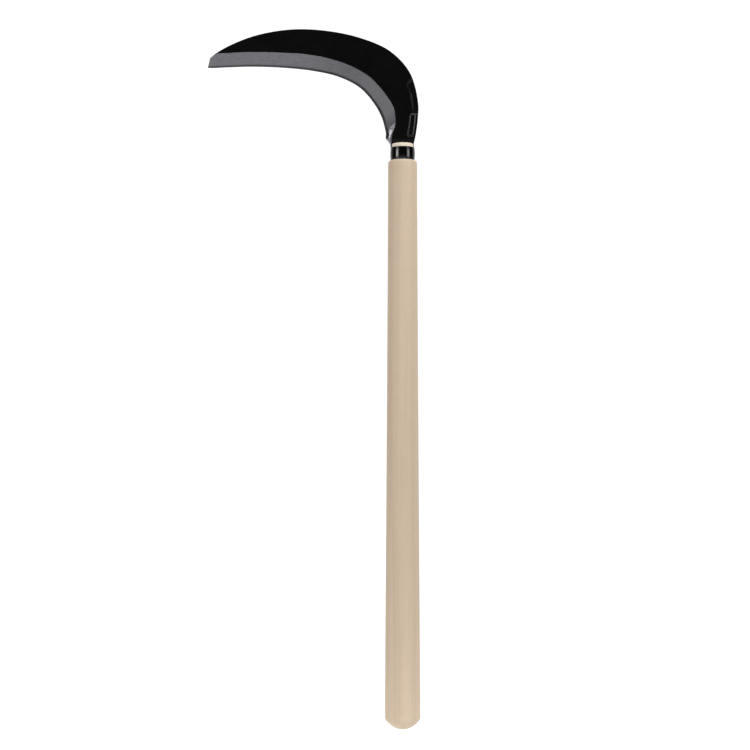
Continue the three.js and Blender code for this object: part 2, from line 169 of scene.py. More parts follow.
def table_at(table, row):
    """The values that a table gives for a row, eased between its entries."""
    last = max((i for i, entry in enumerate(table) if entry[0] <= row), default=0)
    start, end = table[last], table[min(last + 1, len(table) - 1)]
    t = smoothstep(row, start[0], end[0]) if end is not start else 0
    return [lerp(a, b, t) for a, b in zip(start[1:], end[1:])]


def wobble(distance, wavelength, seed):
    """A smooth wander from -1 to 1 along a distance in millimetres."""
    return noise.noise(Vector((distance / wavelength, seed * 7.3, seed * 3.1)))


def spline_point(points, t):
    """The point at t, in rows, on a centripetal Catmull-Rom curve through points."""
    i = min(int(t), len(points) - 2)
    w = t - i
    p1, p2 = Vector(points[i]), Vector(points[i + 1])
    p0 = Vector(points[i - 1]) if i > 0 else 2 * p1 - p2
    p3 = Vector(points[i + 2]) if i + 2 < len(points) else 2 * p2 - p1
    d0, d1, d2 = ((b - a).length ** 0.5 for a, b in ((p0, p1), (p1, p2), (p2, p3)))
    m1 = ((p1 - p0) / d0 - (p2 - p0) / (d0 + d1) + (p2 - p1) / d1) * d1
    m2 = ((p2 - p1) / d1 - (p3 - p1) / (d1 + d2) + (p3 - p2) / d2) * d1
    cubic = 2 * p1 - 2 * p2 + m1 + m2
    square = 3 * p2 - 3 * p1 - 2 * m1 - m2
    return p1 + m1 * w + square * w ** 2 + cubic * w ** 3


SPINE, BEVEL, EDGE = ([row[line] for row in BLADE_ROWS] for line in range(3))


def in_from(start, towards, distance):
    return start + (towards - start).normalized() * distance


class Section:
    """One cross-section of the blade: its points are (x, height) pairs, and its depths are along Y."""

    def __init__(self, row, distance):
        self.row, self.distance = row, distance
        self.spine, self.bevel, self.edge = (spline_point(line, row) for line in (SPINE, BEVEL, EDGE))
        clear = smoothstep(row, *WANDER_START_ROWS) * (1 - smoothstep(row, *WANDER_END_ROWS))
        wander = BEVEL_WANDER * clear * wobble(distance, BEVEL_WANDER_LENGTH, 1)
        self.bevel = in_from(self.bevel, self.edge, wander)
        swell = FOOT_SWELL * smoothstep(row, *SWELL_ROWS)
        self.back = BACK_Y + swell
        self.front = BACK_Y - self.plate_thickness() - swell
        self.thickness = self.back - self.front
        self.width = (self.spine - self.edge).length
        self.ground()
        self.face()

    def plate_thickness(self):
        if self.row < FULL_BEVEL_ROW:
            return lerp(TIP_END_THICKNESS, TIP_THICKNESS, self.row / FULL_BEVEL_ROW)
        down = (self.row - FULL_BEVEL_ROW) / (NECK_ROW - FULL_BEVEL_ROW)
        return lerp(TIP_THICKNESS, NECK_THICKNESS, clamp(down, 0, 1))

    def ground(self):
        """The honed strip, and the lines where the bevel ends and where the facet at the heel ends."""
        width = (self.bevel - self.edge).length
        plain = lerp(HONE_TIP_WIDTH, HONE_NECK_WIDTH, clamp(self.row / NECK_ROW, 0, 1))
        wide = lerp(plain, HONE_HEEL_WIDTH, smoothstep(self.row, *HONE_WIDEN_ROWS))
        hone_width = min(wide + HONE_WANDER * wobble(self.distance, HONE_WANDER_LENGTH, 2), 0.6 * width)
        hone_rise = lerp(STEEL_THICKNESS, self.thickness / 2, smoothstep(self.row, HEEL_ROW, FOOT_ROW - 1))
        self.hone = in_from(self.edge, self.bevel, hone_width)
        self.hone_depth = self.back - hone_rise
        run, rise = width - hone_width, self.thickness - hone_rise
        turn = min(table_at(TURN, self.row)[0], 0.98) * run
        turn_rise = min(BEVEL_SLOPE * turn, rise * turn / run)
        left = run - turn
        steep = (SHOULDER_SLOPE * left - (rise - turn_rise)) / (SHOULDER_SLOPE - FACET_SLOPE)
        brow = turn + clamp(steep, 0.02 * left, 0.98 * left)
        brow_rise = turn_rise + min(FACET_SLOPE, (rise - turn_rise) / left) * (brow - turn)
        self.turn, self.brow = (in_from(self.hone, self.bevel, way) for way in (turn, brow))
        self.turn_depth, self.brow_depth = self.hone_depth - turn_rise, self.hone_depth - brow_rise

    def pad_rise(self, point):
        """How far the pad stands up at a point, from 0 to 1."""
        return smoothstep(point.y, *PAD_FOOT) * (1 - smoothstep(point.y, *PAD_HEAD))

    def face(self):
        """The lines of the unground face, as (point, depth), from the pad's foot to the spine's front."""
        width = (self.spine - self.bevel).length
        inset, rim, drop = table_at(SPINE_SLOPE, self.row)
        slope_top = min(inset, 0.45 * width)
        pad_top = min(max(PAD_INSET, slope_top + PAD_CLEAR), 0.6 * width)
        pad_foot = min(pad_top + PAD_RAMP, 0.8 * width)
        corner = min(SPINE_BREAK, 0.05 * width)
        lines = [(pad_foot, 0, 0), (pad_top, 1, 0), (slope_top, 1, 0), (min(rim, 0.3 * width), 1, drop)]
        self.lines = []
        for way, on_pad, fall in lines + [(corner, 1, drop), (0, 1, drop + corner)]:
            point = in_from(self.spine, self.bevel, way)
            self.lines.append((point, self.front - PAD_HEIGHT * on_pad * self.pad_rise(point) + fall))


RAMP_ROUND = 0.22  # the part of a ramp that is rounded at each end


def ramp_shape(t):
    """A straight ramp from 0 to 1 with a rounded start and end."""
    if t > 0.5:
        return 1 - ramp_shape(1 - t)
    slope = 1 / (1 - RAMP_ROUND)
    return slope * t * t / (2 * RAMP_ROUND) if t < RAMP_ROUND else slope * (t - RAMP_ROUND / 2)


class Ring:
    """Points round a section, each with its depth, the kind of surface that follows it, and whether its line
    along the blade is a crisp edge."""

    def __init__(self, point, depth, kind):
        self.points = [(point, depth)]
        self.kinds = [kind]
        self.crisp = [True]

    def to(self, point, depth, steps=1, shape=None, crisp=False, then=None):
        """Goes on to a point in steps, and then changes to another kind of surface."""
        start, start_depth = self.points[-1]
        kind = self.kinds[-1]
        for i in range(1, steps + 1):
            t = i / steps
            self.points.append((start.lerp(point, t), lerp(start_depth, depth, shape(t) if shape else t)))
            self.kinds.append(kind)
            self.crisp.append(False)
        self.kinds[-1] = then or kind
        self.crisp[-1] = crisp
        return self


def body_ring(s):
    """The body's outline, from the weld line on the bevel round the spine and the back to the weld again.
    Past the heel there is no weld, and the outline starts and ends on the neck's inner side."""
    welded = s.row <= HEEL_ROW
    weld_depth = s.hone_depth - WELD_GAP
    if welded:
        ring = Ring(in_from(s.hone, s.bevel, WELD_LIP), weld_depth, "bevel")
    else:
        ring = Ring(s.edge, s.back, "bevel")
        weld_depth = s.hone_depth
    ring.to(in_from(s.hone, s.bevel, 2 * WELD_LIP), weld_depth)
    ring.to(s.turn, s.turn_depth, 8, crisp=True)
    ring.to(s.brow, s.brow_depth, 4)
    ring.to(s.bevel, s.front, 2, crisp=True, then="face")
    pad_foot, pad_top, slope_top, rim, corner, front_corner = s.lines
    ring.to(*pad_foot, 8)
    ring.to(*pad_top, 8, ramp_shape)
    ring.to(*slope_top, 3)
    ring.to(*rim, 8, ramp_shape)
    ring.to(*corner, 3)
    ring.to(*front_corner, 2)
    ring.to(s.spine, s.back - BACK_BREAK, 2)
    ring.to(in_from(s.spine, s.edge, BACK_BREAK * 0.3), s.back - BACK_BREAK * 0.3)
    ring.to(in_from(s.spine, s.edge, BACK_BREAK), s.back)
    steel = min(STEEL_WIDTH, 0.8 * s.width) + WELD_GAP
    inner = in_from(s.edge, s.spine, steel if welded else 0.04)
    ring.to(inner, s.back, 8, crisp=True, then="weld")
    seat = in_from(s.edge, s.spine, steel if welded else 0.02)
    ring.to(seat, weld_depth if welded else s.back, crisp=True)
    return ring


def steel_ring(s):
    """The hard layer's outline: the blunt of the edge, the honed strip, the weld, and the ground back."""
    inner = in_from(s.edge, s.spine, min(STEEL_WIDTH, 0.8 * s.width))
    ring = Ring(s.edge, s.back - EDGE_BLUNT, "hone")
    ring.to(s.hone, s.hone_depth, 3, crisp=True, then="weld")
    ring.to(inner, s.hone_depth, crisp=True)
    ring.to(inner, s.back, crisp=True, then="back")
    ring.to(s.edge, s.back, 6, crisp=True)
    return ring


def fine_rows(last):
    """(row, distance from the tip in millimetres) at even steps down the blade, as far as a row."""
    found, distance = [], 0.0
    for row in range(last):
        length = (spline_point(SPINE, row + 1) - spline_point(SPINE, row)).length
        steps = math.ceil(length / (ROW_SPACING if row < NECK_FINE_ROW else NECK_ROW_SPACING))
        found += [(row + i / steps, distance + length * i / steps) for i in range(steps)]
        distance += length
    return found + [(last, distance)]


# ---------------------------------------------------------------- meshes


def vertex_key(vert):
    return tuple(round(c, 7) for c in vert.co)


def edge_key(edge):
    return frozenset(vertex_key(v) for v in edge.verts)


def cut(mesh, cutters):
    """The mesh with solids taken out of it. The crisp edges that are left stay crisp."""
    before = bmesh.new()
    before.from_mesh(mesh)
    crisp = {edge_key(e) for e in before.edges if not e.smooth}
    before.free()
    blank = bpy.data.objects.new("blank", mesh)
    tools = [bpy.data.objects.new("cutter", cutter) for cutter in cutters]
    for item in (blank, *tools):
        bpy.context.scene.collection.objects.link(item)
    for tool in tools:
        modifier = blank.modifiers.new("cut", "BOOLEAN")
        modifier.operation, modifier.solver, modifier.object = "DIFFERENCE", "EXACT", tool
    graph = bpy.context.evaluated_depsgraph_get()
    result = bpy.data.meshes.new_from_object(blank.evaluated_get(graph), depsgraph=graph)
    for item in (blank, *tools):
        bpy.data.objects.remove(item)
    for used in (mesh, *cutters):
        bpy.data.meshes.remove(used)
    bm = bmesh.new()
    bm.from_mesh(result)
    bpy.data.meshes.remove(result)
    for edge in bm.edges:
        edge.smooth = edge_key(edge) not in crisp
    return bm


def solid_mesh(bm):
    mesh = bpy.data.meshes.new("solid")
    bmesh.ops.recalc_face_normals(bm, faces=bm.faces)
    bm.to_mesh(mesh)
    bm.free()
    return mesh


def new_piece(name, bm, materials, stands_for, crisp_angle, cutters=()):
    """A finished mesh as an object that rides on the one body and replaces its CAD node."""
    if cutters:
        bm = cut(solid_mesh(bm), cutters)
    bmesh.ops.recalc_face_normals(bm, faces=bm.faces)
    for face in bm.faces:
        face.smooth = True
    for edge in bm.edges:
        if edge.is_manifold and edge.calc_face_angle() > math.radians(crisp_angle):
            edge.smooth = False
    mesh = bpy.data.meshes.new(name)
    bm.to_mesh(mesh)
    bm.free()
    for material in materials:
        mesh.materials.append(material)
    piece = bpy.data.objects.new(name, mesh)
    bpy.context.scene.collection.objects.link(piece)
    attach(piece, "root")
    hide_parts(stands_for)
    return piece


def loft(rings, distances, style=None, material_of=None):
    """A closed solid through rings of (x, y, z) in millimetres. style is a Ring whose kinds and crisp lines
    they share. UV map "strip" holds the distance along and round the rings, in metres."""
    bm = bmesh.new()
    strip = bm.loops.layers.uv.new("strip")
    count = len(rings[0])
    grid = [[bm.verts.new(Vector(p) * MM) for p in ring] for ring in rings]
    around = []
    for ring in rings:
        places = [0.0]
        for i in range(count):
            places.append(places[-1] + (Vector(ring[(i + 1) % count]) - Vector(ring[i])).length)
        around.append(places)
    for r in range(len(rings) - 1):
        for i in range(count):
            j = (i + 1) % count
            face = bm.faces.new((grid[r][i], grid[r][j], grid[r + 1][j], grid[r + 1][i]))
            if material_of:
                face.material_index = material_of(style.kinds[i], r)
            corners = ((r, i), (r, i + 1), (r + 1, i + 1), (r + 1, i))
            for loop, (a, b) in zip(face.loops, corners):
                loop[strip].uv = (distances[a] * MM, around[a][b] * MM)
            if style and style.crisp[i]:
                bm.edges.get((grid[r][i], grid[r + 1][i])).smooth = False
    for ring, r in ((grid[0], 0), (grid[-1], len(rings) - 1)):
        cap = bm.faces.new(ring)
        if material_of:
            cap.material_index = material_of("cap", r)
    return bm


def box_ring(x, low_y, high_y, z):
    return [(-x, low_y, z), (x, low_y, z), (x, high_y, z), (-x, high_y, z)]


def turned(profile, sides):
    """A solid of revolution about Z from a profile of (radius, z) in millimetres that starts and ends on the
    axis, or closes on itself."""
    bm = bmesh.new()
    closed = profile[0] == profile[-1]
    points = profile[:-1] if closed else profile
    columns = []
    for r, z in points:
        if r == 0:
            columns.append([bm.verts.new(Vector((0, 0, z)) * MM)])
        else:
            angles = (2 * math.pi * i / sides for i in range(sides))
            circle = [(r * math.cos(a), r * math.sin(a), z) for a in angles]
            columns.append([bm.verts.new(Vector(point) * MM) for point in circle])
    pairs = list(zip(columns, columns[1:] + ([columns[0]] if closed else [])))
    for low, high in pairs:
        for i in range(sides):
            j = (i + 1) % sides
            corners = [low[i % len(low)], low[j % len(low)], high[j % len(high)], high[i % len(high)]]
            unique = list(dict.fromkeys(corners))
            if len(unique) > 2:
                bm.faces.new(unique)
    return bm


def arc(centre_r, centre_z, radius_r, radius_z, start, end, steps):
    """Points on an ellipse, as (radius, z), from one angle in degrees to another."""
    found = []
    for i in range(steps + 1):
        a = math.radians(lerp(start, end, i / steps))
        found.append((centre_r + radius_r * math.cos(a), centre_z + radius_z * math.sin(a)))
    return found


# ---------------------------------------------------------------- shader nodes


class Finish:
    """A material with one Principled shader, and short calls for the nodes that feed it."""

    def __init__(self, name):
        self.material = bpy.data.materials.new(name)
        self.material.use_nodes = True
        self.tree = self.material.node_tree
        self.tree.nodes.clear()
        self.shader = self.node("ShaderNodeBsdfPrincipled")
        output = self.node("ShaderNodeOutputMaterial")
        self.tree.links.new(self.shader.outputs["BSDF"], output.inputs["Surface"])

    def put(self, socket, value):
        if isinstance(value, bpy.types.NodeSocket):
            self.tree.links.new(value, socket)
        else:
            socket.default_value = value

    def set(self, socket, value):
        self.put(self.shader.inputs[socket], value)

    def node(self, kind, inputs=None, **settings):
        made = self.tree.nodes.new(kind)
        for key, value in settings.items():
            setattr(made, key, value)
        for key, value in (inputs or {}).items():
            self.put(made.inputs[key], value)
        return made

    def point(self):
        """The place on the object, in metres in the row frame."""
        return self.node("ShaderNodeTexCoord").outputs["Object"]

    def strip(self):
        """The distance along the blade and across it, in metres."""
        return self.node("ShaderNodeUVMap", uv_map="strip").outputs["UV"]

    def stretch(self, vector, factors):
        made = self.node("ShaderNodeVectorMath", {0: vector, 1: factors}, operation="MULTIPLY")
        return made.outputs["Vector"]

    def offset(self, vector, amount):
        return self.node("ShaderNodeVectorMath", {0: vector, 1: amount}, operation="ADD").outputs["Vector"]

    def noise(self, vector, scale=1.0, detail=2.0, roughness=0.5):
        inputs = {"Vector": vector, "Scale": scale, "Detail": detail, "Roughness": roughness}
        return self.node("ShaderNodeTexNoise", inputs).outputs["Fac"]

    def cells(self, vector, scale):
        return self.node("ShaderNodeTexVoronoi", {"Vector": vector, "Scale": scale}).outputs["Distance"]

    def math(self, operation, a, b=0.0):
        return self.node("ShaderNodeMath", {0: a, 1: b}, operation=operation).outputs[0]

    def span(self, value, low, high, to_low=0.0, to_high=1.0):
        inputs = {"Value": value, "From Min": low, "From Max": high, "To Min": to_low, "To Max": to_high}
        return self.node("ShaderNodeMapRange", inputs).outputs["Result"]

    def ramp(self, value, stops):
        """Colours or greys along a value: stops are (place, (r, g, b)) or (place, grey)."""
        made = self.node("ShaderNodeValToRGB", {"Fac": value})
        elements = made.color_ramp.elements
        while len(elements) < len(stops):
            elements.new(0.5)
        for element, (place, colour) in zip(elements, stops):
            element.position = place
            rgb = colour if isinstance(colour, tuple) else (colour,) * 3
            element.color = (*rgb, 1)
        return made.outputs["Color"]

    def mix(self, factor, a, b, blend="MIX"):
        made = self.node("ShaderNodeMix", data_type="RGBA", blend_type=blend)
        self.put(made.inputs["Factor"], factor)
        for socket, colour in ((6, a), (7, b)):  # a colour mix's own A and B
            self.put(made.inputs[socket], (*colour, 1) if isinstance(colour, tuple) else colour)
        return made.outputs[2]

    def bump(self, height, distance):
        inputs = {"Height": height, "Distance": distance, "Strength": 1.0}
        return self.node("ShaderNodeBump", inputs).outputs["Normal"]


# ---------------------------------------------------------------- finishes


PALE_TOP_WOOD = (0.90, 0.80, 0.66)  # the paler colour of the wood above a height, linear
PALE_TOP_SHARE = 0.62
YEAR_WIDTH = 0.0026  # metres from one growth ring to the next


def wood_finish(name, pale, dark, heart, seed, pale_from=None):
    """Straight-grained pale hardwood: growth rings about a heart that lies outside the piece, fibres and
    fine pores along Z, and slow changes of tone. It is paler above a height, if one is given."""
    f = Finish(name)
    place = f.offset(f.point(), (seed * 0.37, seed * 0.21, seed * 0.53))
    sway = f.noise(f.stretch(place, (9, 9, 2.2)), detail=1.0)
    x, y, z = (f.node("ShaderNodeSeparateXYZ", {0: f.point()}).outputs[i] for i in range(3))
    from_x = f.math("SUBTRACT", x, heart[0])
    from_y = f.math("SUBTRACT", y, heart[1])
    squares = f.math("ADD", f.math("MULTIPLY", from_x, from_x), f.math("MULTIPLY", from_y, from_y))
    radius = f.math("ADD", f.math("SQRT", squares), f.math("MULTIPLY", sway, 0.012))
    year = f.math("MULTIPLY", radius, 1 / YEAR_WIDTH)
    unrest = f.math("MULTIPLY", f.noise(f.stretch(place, (300, 300, 8))), 0.5)
    phase = f.math("FRACT", f.math("ADD", year, unrest))
    late = f.ramp(phase, [(0.0, 0.25), (0.12, 0.0), (0.6, 0.25), (0.93, 1.0), (1.0, 0.25)])
    fibre = f.noise(f.stretch(place, (1500, 1500, 16)), detail=3.0, roughness=0.6)
    streak = f.noise(f.stretch(place, (170, 170, 3)), detail=2.0)
    pores = f.span(f.noise(f.stretch(place, (4200, 4200, 190)), detail=1.0), 0.62, 0.72)
    tone = f.mix(f.span(streak, 0.25, 0.75), pale, dark)
    tone = f.mix(f.math("MULTIPLY", late, 0.22), tone, tuple(c * 0.80 for c in dark))
    tone = f.mix(f.span(fibre, 0.3, 0.7, 0.0, 0.22), tone, tuple(c * 0.82 for c in dark))
    tone = f.mix(f.math("MULTIPLY", pores, 0.30), tone, tuple(c * 0.55 for c in dark))
    if pale_from:
        pale_top = f.span(z, (pale_from - 1) * MM, pale_from * MM)
        tone = f.mix(f.math("MULTIPLY", pale_top, PALE_TOP_SHARE), tone, PALE_TOP_WOOD)
    f.set("Base Color", tone)
    f.set("Roughness", f.span(fibre, 0.2, 0.8, 0.52, 0.68))
    relief = f.math("SUBTRACT", f.math("MULTIPLY", fibre, 0.6), pores)
    f.set("Normal", f.bump(relief, 0.00005))
    f.set("Specular IOR Level", 0.35)
    return f.material


def black_finish():
    """Satin black on forged steel: slight mottling, a fine skin and a few shallow pits."""
    f = Finish("satin_black")
    mottle = f.noise(f.point(), 70, detail=3.0)
    skin = f.noise(f.point(), 1300, detail=2.0)
    pits = f.span(f.cells(f.point(), 260), 0.0, 0.12, 1.0, 0.0)
    f.set("Base Color", f.ramp(mottle, [(0.3, (0.0013, 0.0013, 0.0014)), (0.7, (0.0017, 0.0017, 0.0018))]))
    f.set("Roughness", f.span(mottle, 0.3, 0.7, 0.24, 0.27))
    f.set("Normal", f.bump(f.math("SUBTRACT", f.math("MULTIPLY", skin, 0.5), pits), 0.00002))
    f.set("Specular IOR Level", 0.45)
    return f.material


TONE_REACH = 0.3  # a little more than the blade's length from the tip to the foot, in metres
SHADE_SPAN = (0.43, 0.83)  # the darkest and the lightest of the ground steel's pattern


def ground_finish(name, pale, dark, slant, roughness, tone_along=None):
    """Bare steel with fine grinding lines across it and soft bands along it. slant is how far the lines
    lean. tone_along gives a factor on the colour along the blade, as (metres from the tip, factor); on the
    bevel it is painted highlight and painted shade."""
    f = Finish(name)
    along, across, _ = (f.node("ShaderNodeSeparateXYZ", {0: f.strip()}).outputs[i] for i in range(3))
    leaning = f.math("ADD", along, f.math("MULTIPLY", across, slant))
    lines = f.node("ShaderNodeCombineXYZ", {0: leaning, 1: across}).outputs[0]
    fine = f.noise(f.stretch(lines, (5200, 40, 1)), detail=3.0, roughness=0.7)
    bands = f.noise(f.stretch(f.strip(), (150, 560, 1)), detail=3.0)
    cloud = f.noise(f.point(), 45, detail=2.0)
    shade = f.math("ADD", f.math("MULTIPLY", fine, 0.30), f.math("MULTIPLY", bands, 0.75))
    shade = f.math("ADD", shade, f.math("MULTIPLY", cloud, 0.2))
    tone = f.ramp(shade, list(zip(SHADE_SPAN, (dark, pale))))
    # the factor along the blade: painted highlight and painted shade on the bevel, a lighter and darker tone
    # on the honed strip
    if tone_along:
        stops = [(distance / TONE_REACH, factor) for distance, factor in tone_along]
        tone_factor = f.ramp(f.math("MULTIPLY", along, 1 / TONE_REACH), stops)
        tone = f.mix(1.0, tone, tone_factor, "MULTIPLY")
    f.set("Base Color", tone)
    f.set("Roughness", f.span(shade, *SHADE_SPAN, roughness + 0.06, roughness - 0.06))
    f.set("Normal", f.bump(fine, 0.00001))
    f.set("Metallic", 1.0)
    return f.material


def lacquer_finish():
    """Gloss black lacquer with a faint ripple and hairline scratches round the ring."""
    f = Finish("gloss_black")
    ripple = f.noise(f.point(), 420, detail=1.0)
    hair = f.noise(f.stretch(f.point(), (60, 60, 9000)), detail=2.0, roughness=0.7)
    f.set("Base Color", f.ramp(ripple, [(0.3, (0.0008, 0.0008, 0.0012)), (0.7, (0.0014, 0.0014, 0.0020))]))
    f.set("Roughness", f.span(hair, 0.3, 0.7, 0.11, 0.2))
    f.set("Specular IOR Level", 0.82)
    f.set("Normal", f.bump(ripple, 0.00003))
    return f.material


def wire_finish():
    """A plain wire nail: dull steel with darker stains, and small dents."""
    f = Finish("wire_steel")
    dents = f.noise(f.point(), 900, detail=3.0)
    stain = f.noise(f.point(), 260, detail=2.0)
    f.set("Base Color", f.ramp(stain, [(0.3, (0.16, 0.15, 0.145)), (0.7, (0.42, 0.42, 0.42))]))
    f.set("Roughness", f.span(stain, 0.3, 0.7, 0.55, 0.32))
    f.set("Normal", f.bump(dents, 0.00006))
    f.set("Metallic", 1.0)
    return f.material


# How light the bevel and the honed strip are along the blade, as (metres from the tip, factor). On the bevel
# this is painted light: painted highlight and painted shade where its reflection changes along the blade,
# painted shade just above the facet at the heel and a painted highlight on that facet. The honed strip is
# lighter and darker along the blade. Both are lightest where the grinding ends at the heel.
BEVEL_PAINTED_LIGHT = [(0, 0.80), (0.105, 0.80), (0.165, 0.58), (0.19, 0.66), (0.25, 0.66), (0.262, 0.50)]
BEVEL_PAINTED_LIGHT += [(0.2655, 0.42), (0.270, 0.42), (0.2745, 0.50), (0.280, 0.95), (0.2835, 1.0), (0.2865, 0.80)]
HONE_TONE_ALONG = [(0, 0.85), (0.088, 0.85), (0.14, 0.55), (0.236, 0.60), (0.26, 0.85), (0.275, 1.0)]

SATIN_BLACK = black_finish()
# the bevel's factors along the blade are painted highlight and painted shade
BEVEL_STEEL = ground_finish("bevel_steel", (0.61, 0.61, 0.65), (0.42, 0.42, 0.455), 0.25, 0.42, BEVEL_PAINTED_LIGHT)
HONED_STEEL = ground_finish("honed_steel", (0.18, 0.18, 0.20), (0.106, 0.106, 0.12), 2.5, 0.32, HONE_TONE_ALONG)
BACK_STEEL = ground_finish("back_steel", (0.34, 0.34, 0.36), (0.22, 0.22, 0.24), 6.0, 0.38)
HANDLE_TONES = ((0.65, 0.52, 0.387), (0.585, 0.46, 0.333))
HANDLE_WOOD = wood_finish("pale_hardwood", *HANDLE_TONES, (0.11, 0.06), 1, SHOULDER_Z)
WEDGE_TONES = ((0.58, 0.43, 0.28), (0.50, 0.36, 0.23))
WEDGE_WOOD = wood_finish("wedge_hardwood", *WEDGE_TONES, (-0.05, 0.09), 4)
GLOSS_BLACK = lacquer_finish()
WIRE_STEEL = wire_finish()

# ---------------------------------------------------------------- the blade

FACE_WAVE = 0.05  # depth of the hammered face's slow waves
FACE_WAVE_LENGTH = 17
TANG_TOP = (7, 2.3)  # half width and half thickness
TANG_BOTTOM = (3.5, 1.5)
TANG_STEPS = 12
TANG_RING_SPACING = 10
PIN_HOLE_SIDES = 48
BARE_STOP = 2  # rings between the tip's bare face and the row where the bevel's whole width ends


def place(ring):
    """A ring's points as (x, y, z) in millimetres, with the forged face's slight waves."""
    found = []
    for (point, depth), kind in zip(ring.points, ring.kinds):
        at = Vector((point.x / FACE_WAVE_LENGTH, point.y / FACE_WAVE_LENGTH, 3.7))
        wave = FACE_WAVE * noise.noise(at) if kind == "face" else 0
        found.append((point.x, depth + wave, HANDLE_END_Z + point.y))
    return found


def tang_rings(foot):
    """Rings down the square tang, their points shared out like those of the neck's foot above it."""
    xs, ys = [p[0] for p in foot], [p[1] for p in foot]
    square = []
    for x, y, _ in foot:
        across = 2 * (x - min(xs)) / (max(xs) - min(xs)) - 1
        deep = 2 * (y - min(ys)) / (max(ys) - min(ys)) - 1
        reach = max(abs(across), abs(deep))
        square.append((across / reach, deep / reach))
    found = []
    for i in range(TANG_STEPS + 1):
        half_x, half_y = (lerp(a, b, i / TANG_STEPS) for a, b in zip(TANG_TOP, TANG_BOTTOM))
        z = lerp(FOOT_Z, BODY_LOW.z, i / TANG_STEPS)
        found.append([(across * half_x, deep * half_y, z) for across, deep in square])
    return found


def pin_hole(from_y):
    """A mesh that cuts a round hole along Y for the nail, open at the back."""
    radius, reach = PIN_RADIUS + GAP, HANDLE_HIGH.x
    angles = [math.tau * i / PIN_HOLE_SIDES for i in range(PIN_HOLE_SIDES)]
    ring = [(radius * math.cos(a), radius * math.sin(a)) for a in angles]
    middle = (PIN_LOW.z + PIN_HIGH.z) / 2
    return solid_mesh(loft([[(x, y, middle + z) for x, z in ring] for y in (from_y, reach)], (0, 1)))


def blade_body():
    """The black body with its ground bevel, and the tang below its foot."""
    rows = fine_rows(FOOT_ROW)
    heel = next(i for i, (row, _) in enumerate(rows) if row > HEEL_ROW)
    rows.insert(heel, (HEEL_ROW + HEEL_STEP_ROWS, rows[heel - 1][1] + HEEL_STEP))
    outlines = [body_ring(Section(row, d)) for row, d in rows]
    rings = [place(outline) for outline in outlines]
    distances = [d for _, d in rows]
    foot, bare = len(rings) - 1, sum(row < FULL_BEVEL_ROW for row, _ in rows)
    tang = tang_rings(rings[-1])
    distances += [distances[-1] + TANG_RING_SPACING * i for i in range(len(tang))]

    def material_of(kind, ring):
        ground = (kind == "bevel" and ring < foot) or (kind == "face" and ring < bare - BARE_STOP)
        return int(ground or (kind == "cap" and ring == 0))

    bm = loft(rings + tang, distances, outlines[0], material_of)
    finishes = [SATIN_BLACK, BEVEL_STEEL]
    return new_piece("blade_body_fine", bm, finishes, "blade_body", 35, [pin_hole(-11)])


def edge_steel():
    """The hard layer along the edge, from the tip to the heel."""
    rows = fine_rows(HEEL_ROW)
    outlines = [steel_ring(Section(row, d)) for row, d in rows]
    rings = [place(outline) for outline in outlines]
    bm = loft(rings, [d for _, d in rows], outlines[0], lambda kind, ring: int(kind == "back"))
    return new_piece("edge_steel_fine", bm, [HONED_STEEL, BACK_STEEL], "edge_steel", 20)


# ---------------------------------------------------------------- handle, ferrule, pin and wedge

BUTT_FLAT_RADIUS = 4.5
BUTT_INNER_RADIUS = 2.5  # of the ring of faces in the middle of the flat
DOME_HEIGHT = 10.5
DOME_POWER = 1.4  # the dome's fullness: 2 gives a quarter ellipse, 1 a cone
DOME_RINGS = 24
SHAFT_TOP_RADIUS = 14.5
SHAFT_HOLLOW = 0.25  # how far the shaft is slimmer than a straight taper at mid length
SHAFT_RINGS = 120
SHOULDER_FLAT_RADIUS = 12.1
SHOULDER_ROUND_HEIGHT = 3.3
SPIGOT_RADIUS = 10.9
SPIGOT_EDGE = 1.1
SPIGOT_INNER_RADIUS = 5  # of the ring of faces in the middle of the handle's end
HANDLE_SIDES = 160
CUT_REACH = 2  # how far what is cut away reaches past the piece that it is cut from


def dome(steps):
    """The butt's domed end, from its flat to the shaft."""
    found = []
    for i in range(steps + 1):
        angle = math.pi / 2 * i / steps
        out = math.sin(angle) ** (2 / DOME_POWER)
        up = 1 - max(math.cos(angle), 0) ** (2 / DOME_POWER)
        found.append((lerp(BUTT_FLAT_RADIUS, HANDLE_HIGH.x, out), DOME_HEIGHT * up))
    return found


def shaft_radius(up):
    """The shaft's radius at a part of the way up it."""
    return lerp(HANDLE_HIGH.x, SHAFT_TOP_RADIUS, up) - 4 * SHAFT_HOLLOW * up * (1 - up)


def wedge_rings(clearance, top_reach):
    """The tapered wedge behind the tang, or with a clearance the room it needs."""
    def ring(z, thickness, beyond):
        inner = lerp(TANG_TOP[1], TANG_BOTTOM[1], (FOOT_Z - z) / (FOOT_Z - BODY_LOW.z)) + GAP
        outer = inner + thickness
        return box_ring(WEDGE_HIGH.x + clearance, inner - clearance, outer + clearance, z + beyond)

    low = ring(WEDGE_LOW.z, WEDGE_BOTTOM_THICKNESS, -clearance)
    return low, ring(WEDGE_HIGH.z, WEDGE_TOP_THICKNESS, top_reach)


def mortise():
    """The room for the tang, tapered like it."""
    rings = []
    for t, z in ((1, BODY_LOW.z - GAP), (0, HANDLE_HIGH.z + CUT_REACH)):
        x, y = (lerp(a, b, t) + GAP for a, b in zip(TANG_TOP, TANG_BOTTOM))
        rings.append(box_ring(x, -y, y, z))
    return solid_mesh(loft(rings, (0, 1)))


def foot_slot():
    """What the neck's foot takes out across the handle's end."""
    x, y = HANDLE_HIGH.x, TANG_TOP[1] + GAP
    rings = [box_ring(x, -y, y, z) for z in (FOOT_Z - GAP, HANDLE_HIGH.z + CUT_REACH)]
    return solid_mesh(loft(rings, (0, 1)))


